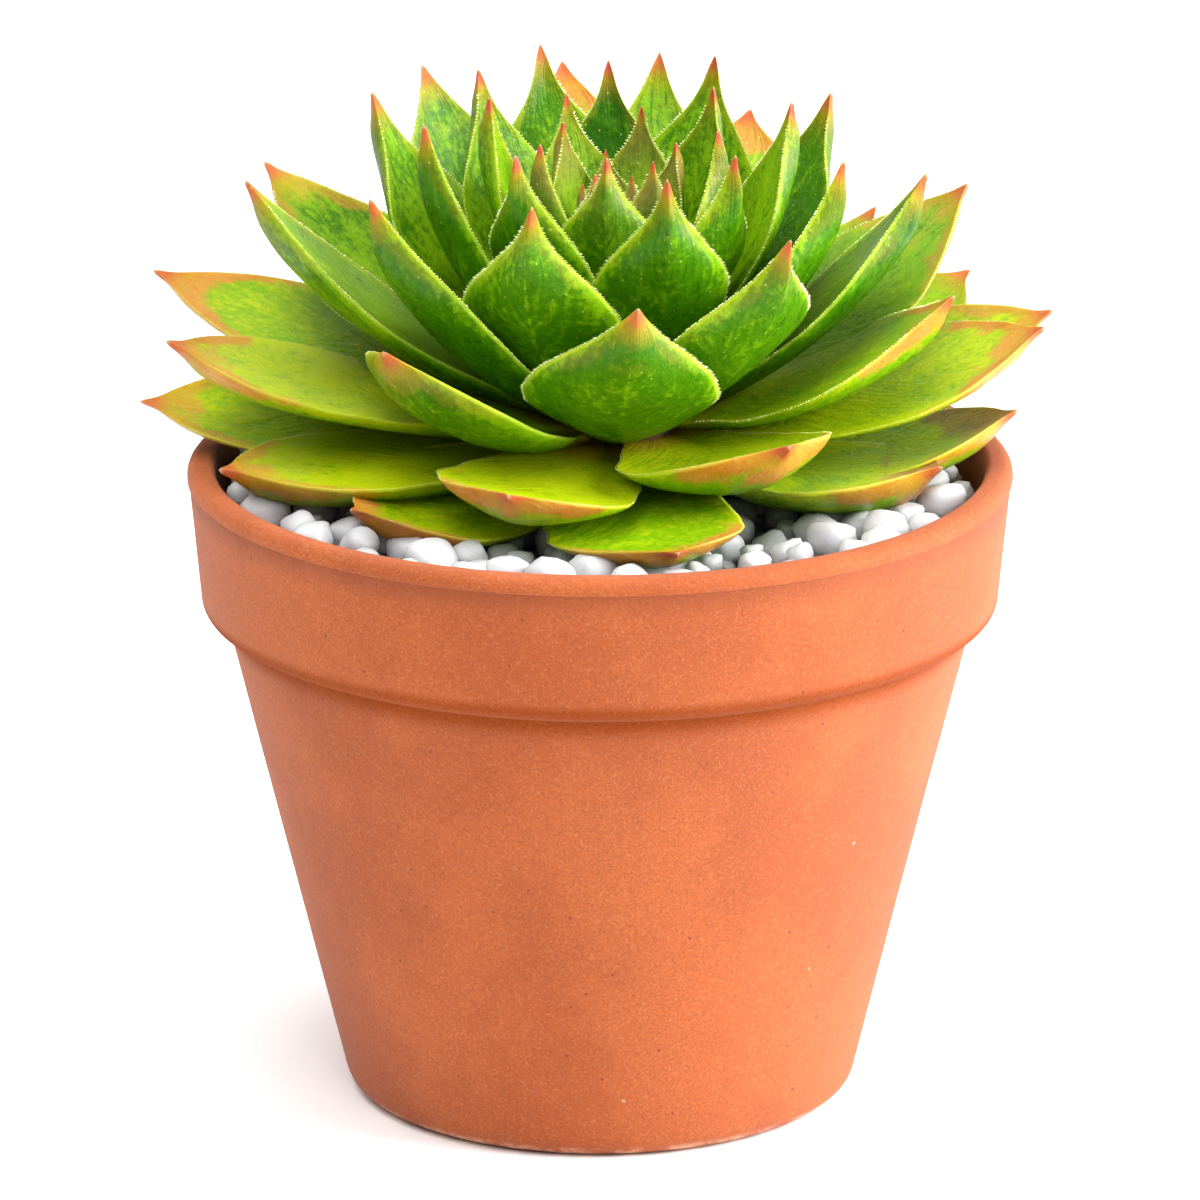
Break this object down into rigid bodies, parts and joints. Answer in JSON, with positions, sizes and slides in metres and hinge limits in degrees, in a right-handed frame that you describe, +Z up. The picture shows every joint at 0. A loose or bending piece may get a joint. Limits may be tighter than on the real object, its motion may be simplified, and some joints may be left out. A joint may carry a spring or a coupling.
{
  "type": "potted succulent",
  "caption": "Rosette succulent with pointed leaves in a tapering clay pot with an upright collar, dressed with white pebbles.",
  "frame": {"origin": "centre of the pot's foot, on the surface the pot stands on", "axes": "+Z up along the pot's axis, -Y towards the pictured front, +X to the right in the picture"},
  "size_m": [0.1445, 0.1317, 0.1598],
  "materials": {
    "terracotta": "matte",
    "potting_soil": "matte",
    "white_stone": "satin",
    "leaf_green": "satin"
  },
  "bodies": {
    "root": {"pot": "terracotta", "soil": "potting_soil", "pebbles": "white_stone", "rosette": "leaf_green"}
  },
  "joints": []
}
